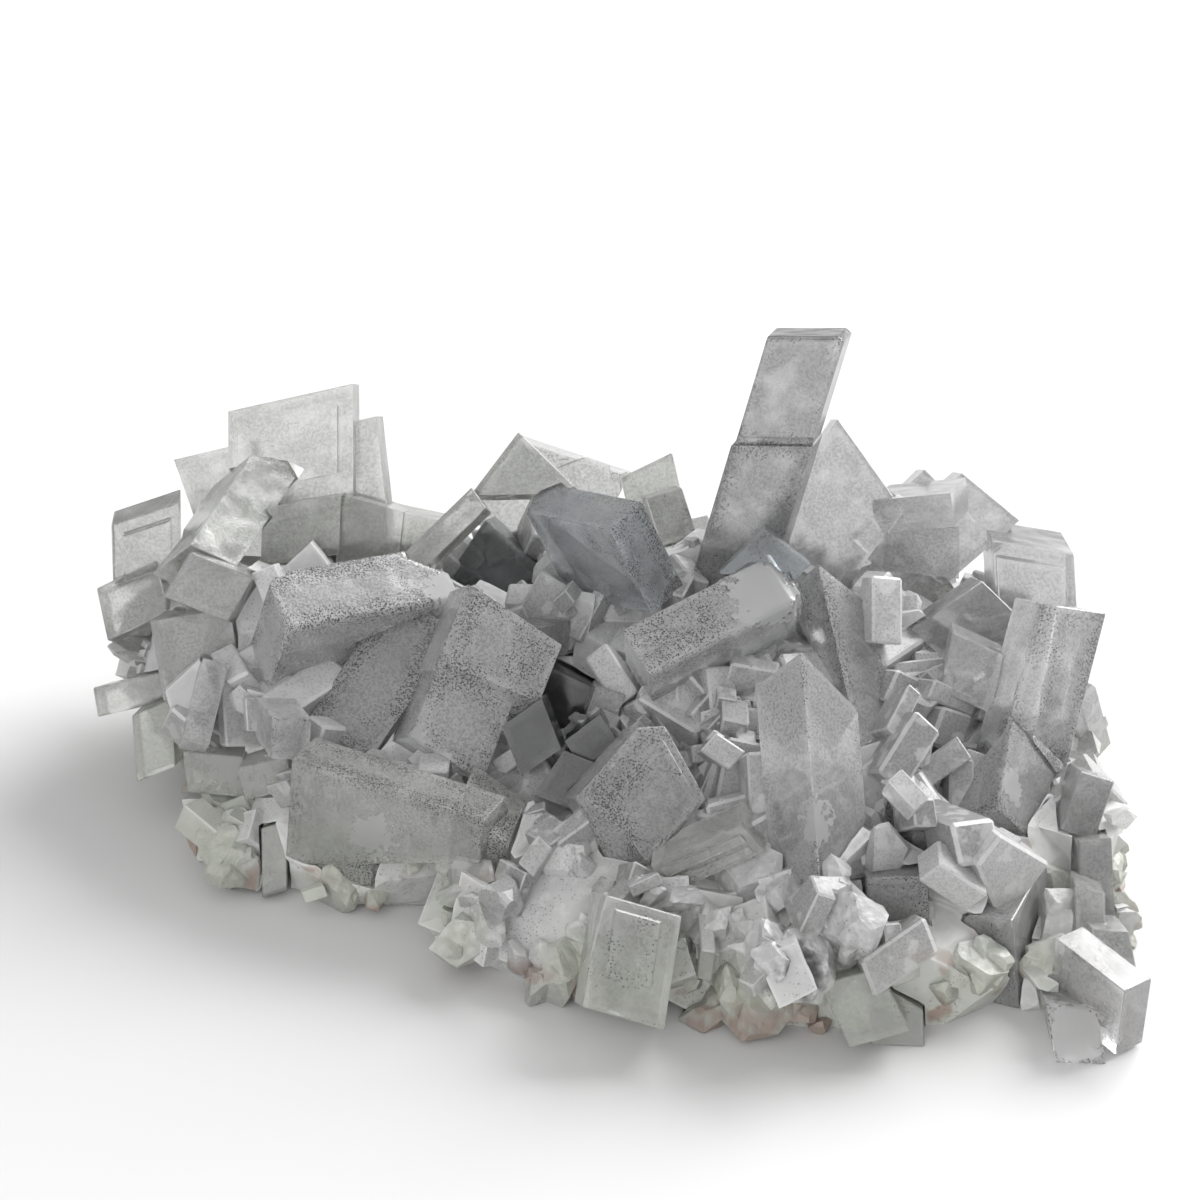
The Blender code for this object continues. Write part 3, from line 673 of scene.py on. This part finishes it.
rim_finish, shader, start = begin_material("broken_barite", RIM_CLEAR)
place, height = place_and_height(start)
patches = cloud(place, 130, 2)
ripples = cloud(place, 900, 2)
colour = patches.mix(grey(0.50), grey(0.82))
colour = (ripples.between(0.45, 0.7) * 0.6).mix(colour, grey(0.98))
low = height.between(13 * MM, 5 * MM) * cloud(place, 75, 1).between(0.3, 0.5)
colour = (low * 0.9).mix(colour, ripples.mix(grey(0.46, green=0.20), grey(0.82, green=0.16)))
colour = (height.between(6 * MM, 0.0) * 0.6).mix(colour, grey(0.42, green=0.12))
brown = height.between(6 * MM, 2 * MM) * cloud(place, 210, 2).between(0.46, 0.56)
colour = (brown * 0.7).mix(colour, RIM_BROWN)
grains = speckles(place, 0.06 + 0.25 * patches.between(0.55, 0.40))
colour = (grains * 0.7).mix(colour, grey(0.08))
soot = (distance_to(place, SOOTY_SPOT) + SOOT_STRAYING * ripples).between(*SOOT_REACHES)
colour = (soot * 0.95).mix(colour, grey(0.04))
colour.feed(shader, "Base Color")
(0.22 + 0.3 * ripples).feed(shader, "Roughness")
bumps(ripples, 0.5, 0.5 * MM, shader)
for name, rim in rims.items():
    crust_piece(name, rim, rim_finish)


# ---------------------------------------------------------------- large crystals, front of the left half
# Blocky and tabular barite, translucent grey, each crystal rooted in the rock. It has worn edges, low growth
# hills on its faces, and fine dark grains that are thickest near its edges. A painted reflection lights a
# pale strip inside its edges and a bright line on them.
# Some crystals are bruised white.
BODY_ABSORPTION = 10             # of the light, for each metre
BODY_TINT = (0.55, 0.58, 0.58, 1)
SMOKY_BLUE = (0.42, 0.50, 0.57, 1)
CRYSTAL_EDGE = math.radians(12)  # its faces meet in an edge where they turn by more than this
CRYSTAL_BLUNTING = 0.12 * MM
CRYSTAL_STEP = 0.8 * MM          # longest side of a face in its mesh
CRYSTAL_UNEVENNESS = 0.05 * MM   # height of the growth hills
CRYSTAL_HILLS = 260              # hills in a metre
CRYSTAL_DIMPLES = 700            # finer ones in a metre
EVEN_BASE = 0.5 * MM             # below this height, its faces stay even
EVEN_EDGE = 0.3 * MM             # and so they do this near to an edge


def crystal_finish(name, light, speckle, veil, clear, green, painted_reflection, blue=0.0, bruise=None, seed=0):
    """Translucent barite. Its looks run from 0 to 1: how light it is, then how much it has of dark
    grains, white veils, clearness, green, painted reflection (a pale strip inside its edges and a bright
    line on them), and blue. A bruise is a middle and a radius. The seed shifts the patterns."""
    material, shader, start = begin_material(name + "_barite", clear)
    spot, height = place_and_height(start)
    place = start.add("ShaderNodeMapping", {"Vector": spot, "Location": (seed * 0.37, seed * 0.11, 0)})
    edge = stored(start, "edge")
    patches = cloud(place, 110, 2)
    clouds = cloud(place, 330, 2)
    rough = 0.10 + 0.14 * patches + 0.08 * clouds
    colour = patches.mix(grey(light * 0.85, green), grey(light * 1.12, green * 0.6))
    colour = (fine_grain(place) * 0.6).mix(colour, grey(light * 0.5))
    colour = (clouds.between(0.46, 0.78) * veil).mix(colour, grey(0.98))
    # painted reflection: a pale strip inside the edges, and below it a bright line on the edges themselves
    inner_reflection_strip = edge.between(0.24, 0.10) * patches.between(0.44, 0.52)
    colour = (inner_reflection_strip * painted_reflection * 0.9).mix(colour, grey(0.99, green * 0.4))
    colour = (edge.between(0.06, 0.01) * painted_reflection).mix(colour, grey(0.99))
    if bruise:
        middle, radius = bruise
        ragged = clouds + cloud(place, 1100, 1)
        reach = distance_to(spot, middle) + 1.6 * radius * (ragged - 1)
        bruised = reach.between(radius, 0.85 * radius)
        colour = bruised.mix(colour, grey(1.0))
        speckle = speckle * (1 - bruised)
        rough = rough + 0.4 * bruised
    if blue:
        colour = (patches.between(0.3, 0.6) * blue).mix(colour, SMOKY_BLUE)
    if green:
        colour = (height.between(20 * MM, 6 * MM) * 0.6).mix(colour, grey(0.78, green=0.12))
    near_edge = edge.between(0.7, 0.0) * patches.between(0.62, 0.46)
    density = speckle * (0.20 + 1.0 * near_edge + 0.6 * patches.between(0.55, 0.66))
    grains = speckles(place, density * (0.6 + 0.7 * stored(start, "tone")))
    colour = grains.mix(colour, grey(0.02))
    colour.feed(shader, "Base Color")
    rough.feed(shader, "Roughness")
    bumps(cloud(place, 420, 0), 0.15, 0.5 * MM, shader)
    absorption = start.add("ShaderNodeVolumeAbsorption", {"Color": BODY_TINT, "Density": BODY_ABSORPTION})
    absorption.feed(start.tree.nodes["Material Output"], "Volume")
    return material


def dress_crystal(node, finish, seed):
    """Puts a worn and uneven copy in a solid crystal's place, with each point's distance to an edge."""
    piece = whole_copy(node, node + "_crystal")
    edges = sharp_edges(piece, CRYSTAL_EDGE)
    blunting = piece.modifiers.new("blunting", "BEVEL")
    blunting.width = CRYSTAL_BLUNTING
    blunting.segments = 1
    blunting.limit_method = "ANGLE"
    blunting.angle_limit = CRYSTAL_EDGE
    bpy.ops.object.modifier_apply(modifier="blunting")
    dice = random.Random(seed)
    body = bmesh.new()
    body.from_mesh(piece.data)
    face_tone = body.faces.layers.float.new("face_tone")
    for face in body.faces:
        face[face_tone] = dice.random()
    split_faces(body, CRYSTAL_STEP)
    near = body.verts.layers.float.new("edge")
    tone = body.verts.layers.float.new("tone")
    for vert in body.verts:
        distance = min(EDGE_REACH, edges.find(vert.co)[2])
        vert[near] = distance / EDGE_REACH
        vert[tone] = max(face[face_tone] for face in vert.link_faces)
        hill = noise.noise(vert.co * CRYSTAL_HILLS + Vector((seed, 0, 0)))
        swell = hill + 0.5 * noise.noise(vert.co * CRYSTAL_DIMPLES)
        if vert.co.z > EVEN_BASE and distance > EVEN_EDGE:
            vert.co += vert.normal * swell * CRYSTAL_UNEVENNESS
        vert.co.z = max(vert.co.z, 0)
    body.faces.layers.float.remove(face_tone)
    body.to_mesh(piece.data)
    body.free()
    piece.data.materials.append(finish)
    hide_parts(node)
    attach(piece, "root")


def dress_crystals(first_seed, bruises, rows):
    """Dresses a group of crystals. A row holds a crystal's node, its slot, which is not used, and its looks
    in
    the order of crystal_finish: light, speckle, veil, clear, green, painted_reflection and, where it has any,
    blue."""
    for seed, (node, slot, *looks) in enumerate(rows, first_seed):
        finish = crystal_finish(node, *looks, bruise=bruises.get(node), seed=seed)
        dress_crystal(node, finish, seed)


left_bruises = {
    "front_box": (Vector((-25.2, -18.3, 11.4)) * MM, 2.8 * MM),
    "stepped_blade": (Vector((-20.4, -11.5, 19.8)) * MM, 1.5 * MM),
    "large_left_blade": (Vector((-17.5, 8.0, 28.6)) * MM, 2.6 * MM),
    "left_front_blocks": (Vector((-40.8, -3.2, 12.8)) * MM, 4.5 * MM)}
dress_crystals(0, left_bruises, [
    ("front_box", "pale_crystal", 0.84, 0.9, 0.35, 0.78, 0.03, 0.7),
    ("stepped_blade", "grey_crystal", 0.90, 0.9, 0.25, 0.78, 0.0, 1.0),
    ("large_left_blade", "grey_crystal", 0.86, 0.9, 0.15, 0.70, 0.0, 0.6),
    ("small_left_box", "grey_crystal", 0.80, 0.5, 0.2, 0.78, 0.0, 0.4),
    ("left_front_prism", "pale_crystal", 0.87, 0.1, 0.4, 0.78, 0.08, 0.5),
    ("left_front_blocks", "pale_crystal", 0.92, 0.0, 0.6, 0.78, 0.03, 0.3),
    ("front_rim_block", "green_grey_crystal", 0.80, 0.2, 0.4, 0.78, 0.12, 0.3),
    ("left_front_blade", "grey_crystal", 0.84, 0.1, 0.3, 0.78, 0.0, 0.3)])


# ---------------------------------------------------------------- large crystals, left end and upright plates
# Clearer crystals at the far left, rooted in the rock's shoulder: plates and blades that let the light
# through, nearly free of grains, with a faint green in them.
dress_crystals(10, {}, [
    ("left_edge_prism", "green_grey_crystal", 0.76, 0.0, 0.3, 0.78, 0.10, 0.15),
    ("left_edge_bar", "pale_crystal", 0.78, 0.0, 0.3, 0.78, 0.03, 0.4),
    ("left_edge_tablet", "grey_crystal", 0.69, 0.0, 0.3, 0.78, 0.05, 0.3),
    ("left_rim_block", "green_grey_crystal", 0.63, 0.1, 0.5, 0.85, 0.06, 0.2),
    ("left_leaning_blade", "green_grey_crystal", 0.70, 0.0, 0.60, 0.70, 0.10, 0.2),
    ("left_flank_blocks", "grey_crystal", 0.78, 0.05, 0.3, 0.80, 0.03, 0.3),
    ("back_left_blocks", "green_grey_crystal", 0.56, 0.0, 0.4, 0.80, 0.14, 0.2),
    ("grey_tablet", "grey_crystal", 0.74, 0.1, 0.2, 0.78, 0.03, 0.2),
    ("back_left_plates", "green_grey_crystal", 0.60, 0.15, 0.5, 0.80, 0.07, 0.3)])


# ---------------------------------------------------------------- large crystals, middle
# The prism and wedges behind the hollow, the bar and blocks in it, the dark tablets at its foot, and the
# speckled bar, blades and tablet in front of it. The dark crystals in the hollow and at its foot are clear
# barite with near-black colours: painted shade of the hollow.
middle_bruises = {
    "centre_bar": (Vector((18.6, -3.4, 34.4)) * MM, 4.2 * MM),
    "front_ridge_blade": (Vector((23.3, -30.7, 20.7)) * MM, 2.2 * MM)}
dress_crystals(20, middle_bruises, [
    ("centre_prism", "grey_crystal", 0.82, 0.9, 0.15, 0.78, 0.0, 0.6, 0.35),
    ("back_wedge", "green_grey_crystal", 0.51, 0.1, 0.2, 0.78, 0.08, 0.3),
    ("back_inclined_blade", "green_grey_crystal", 0.55, 0.2, 0.2, 0.78, 0.08, 0.3),
    ("back_rim_crystals", "green_grey_crystal", 0.58, 0.0, 0.3, 0.78, 0.14, 0.2),
    ("back_small_box", "grey_crystal", 0.63, 0.3, 0.2, 0.78, 0.05, 0.4),
    # recess_slab's low light value is painted shade of the hollow
    ("recess_slab", "dark_crystal", 0.26, 0.1, 0.1, 0.78, 0.0, 0.1, 0.20),
    ("recess_bar", "pale_crystal", 0.85, 0.4, 0.4, 0.78, 0.03, 0.5),
    ("recess_cube", "pale_crystal", 0.86, 0.3, 0.5, 0.78, 0.0, 0.5),
    # the near-black light values of these six crystals are painted shade of the hollow
    ("recess_block", "dark_crystal", 0.10, 0.2, 0.1, 0.78, 0.0, 0.1),
    ("dark_tablet_left", "dark_crystal", 0.04, 0.4, 0.05, 0.78, 0.0, 0.1, 0.06),
    ("dark_tablet_middle", "dark_crystal", 0.04, 0.4, 0.05, 0.78, 0.0, 0.1, 0.06),
    ("dark_tablet_low", "dark_crystal", 0.05, 0.4, 0.05, 0.78, 0.0, 0.15, 0.04),
    ("dark_blade", "dark_crystal", 0.09, 0.5, 0.05, 0.78, 0.0, 0.15),
    ("blue_tablet", "dark_crystal", 0.22, 0.7, 0.05, 0.78, 0.0, 0.3, 0.5),
    ("centre_bar", "grey_crystal", 0.86, 0.9, 0.3, 0.78, 0.0, 0.8),
    ("front_tabular", "grey_crystal", 0.86, 0.9, 0.25, 0.78, 0.0, 0.7),
    ("front_ridge_blade", "pale_crystal", 0.84, 0.5, 0.35, 0.78, 0.0, 0.6),
    ("long_blade", "grey_crystal", 0.84, 0.7, 0.2, 0.78, 0.0, 0.7),
    ("striated_bar", "pale_crystal", 0.85, 0.3, 0.4, 0.78, 0.04, 0.6),
    ("foot_block", "pale_crystal", 0.78, 0.4, 0.5, 0.78, 0.06, 0.8)])


# ---------------------------------------------------------------- large crystals, right half
# The tall blade and the paler slabs behind it, the wedge and end blade at the right, and the blocks at
# their foot: translucent barite again, each rooted in the rock.
right_bruises = {
    "right_wedge": (Vector((46.3, -15.3, 15.7)) * MM, 2.0 * MM),
    "right_foot_blade": (Vector((50.7, -44.2, 2.9)) * MM, 3.6 * MM)}
dress_crystals(40, right_bruises, [
    ("right_wedge", "grey_crystal", 0.88, 0.8, 0.3, 0.78, 0.0, 0.5),
    ("right_end_blade", "grey_crystal", 0.74, 0.7, 0.3, 0.78, 0.0, 0.6),
    ("right_low_box", "pale_crystal", 0.80, 0.4, 0.4, 0.78, 0.0, 0.5),
    ("right_foot_blade", "pale_crystal", 0.79, 0.5, 0.5, 0.78, 0.0, 0.4),
    ("right_edge_wedge", "grey_crystal", 0.77, 0.2, 0.3, 0.78, 0.0, 0.3),
    ("right_edge_column", "pale_crystal", 0.78, 0.2, 0.4, 0.78, 0.0, 0.4),
    ("right_edge_blocks", "pale_crystal", 0.80, 0.1, 0.4, 0.78, 0.0, 0.3),
    ("right_rim_block", "green_grey_crystal", 0.78, 0.2, 0.4, 0.78, 0.14, 0.3),
    ("back_right_shelf", "pale_crystal", 0.78, 0.1, 0.3, 0.80, 0.0, 0.3),
    ("right_front_box", "grey_crystal", 0.80, 0.8, 0.2, 0.78, 0.0, 0.5),
    ("right_front_flake", "dark_crystal", 0.22, 0.6, 0.1, 0.78, 0.0, 0.4),
    ("tall_blade", "grey_crystal", 0.34, 0.6, 0.35, 0.78, 0.0, 0.1),
    ("back_right_peaks", "pale_crystal", 0.58, 0.1, 0.5, 0.80, 0.0, 0.2),
    ("back_right_box", "grey_crystal", 0.73, 0.2, 0.3, 0.78, 0.0, 0.3),
    ("back_right_slab", "pale_crystal", 0.67, 0.0, 0.5, 0.80, 0.0, 0.3),
    ("clear_slab", "pale_crystal", 0.65, 0.0, 0.4, 0.80, 0.0, 0.3),
    ("grey_slab", "grey_crystal", 0.74, 0.0, 0.2, 0.78, 0.0, 0.2),
    ("right_recess_box", "pale_crystal", 0.83, 0.0, 0.4, 0.78, 0.0, 0.4)])


# ---------------------------------------------------------------- large crystals, far side
# Three blocks on the side that faces away, of the same translucent barite as the rim beside them, and
# rooted in the rock as the others are.
dress_crystals(60, {}, [
    ("far_left_block", "green_grey_crystal", 0.80, 0.3, 0.3, 0.78, 0.08, 0.4),
    ("far_middle_blade", "grey_crystal", 0.76, 0.3, 0.3, 0.78, 0.03, 0.4),
    ("far_right_block", "grey_crystal", 0.80, 0.3, 0.3, 0.78, 0.05, 0.4)])
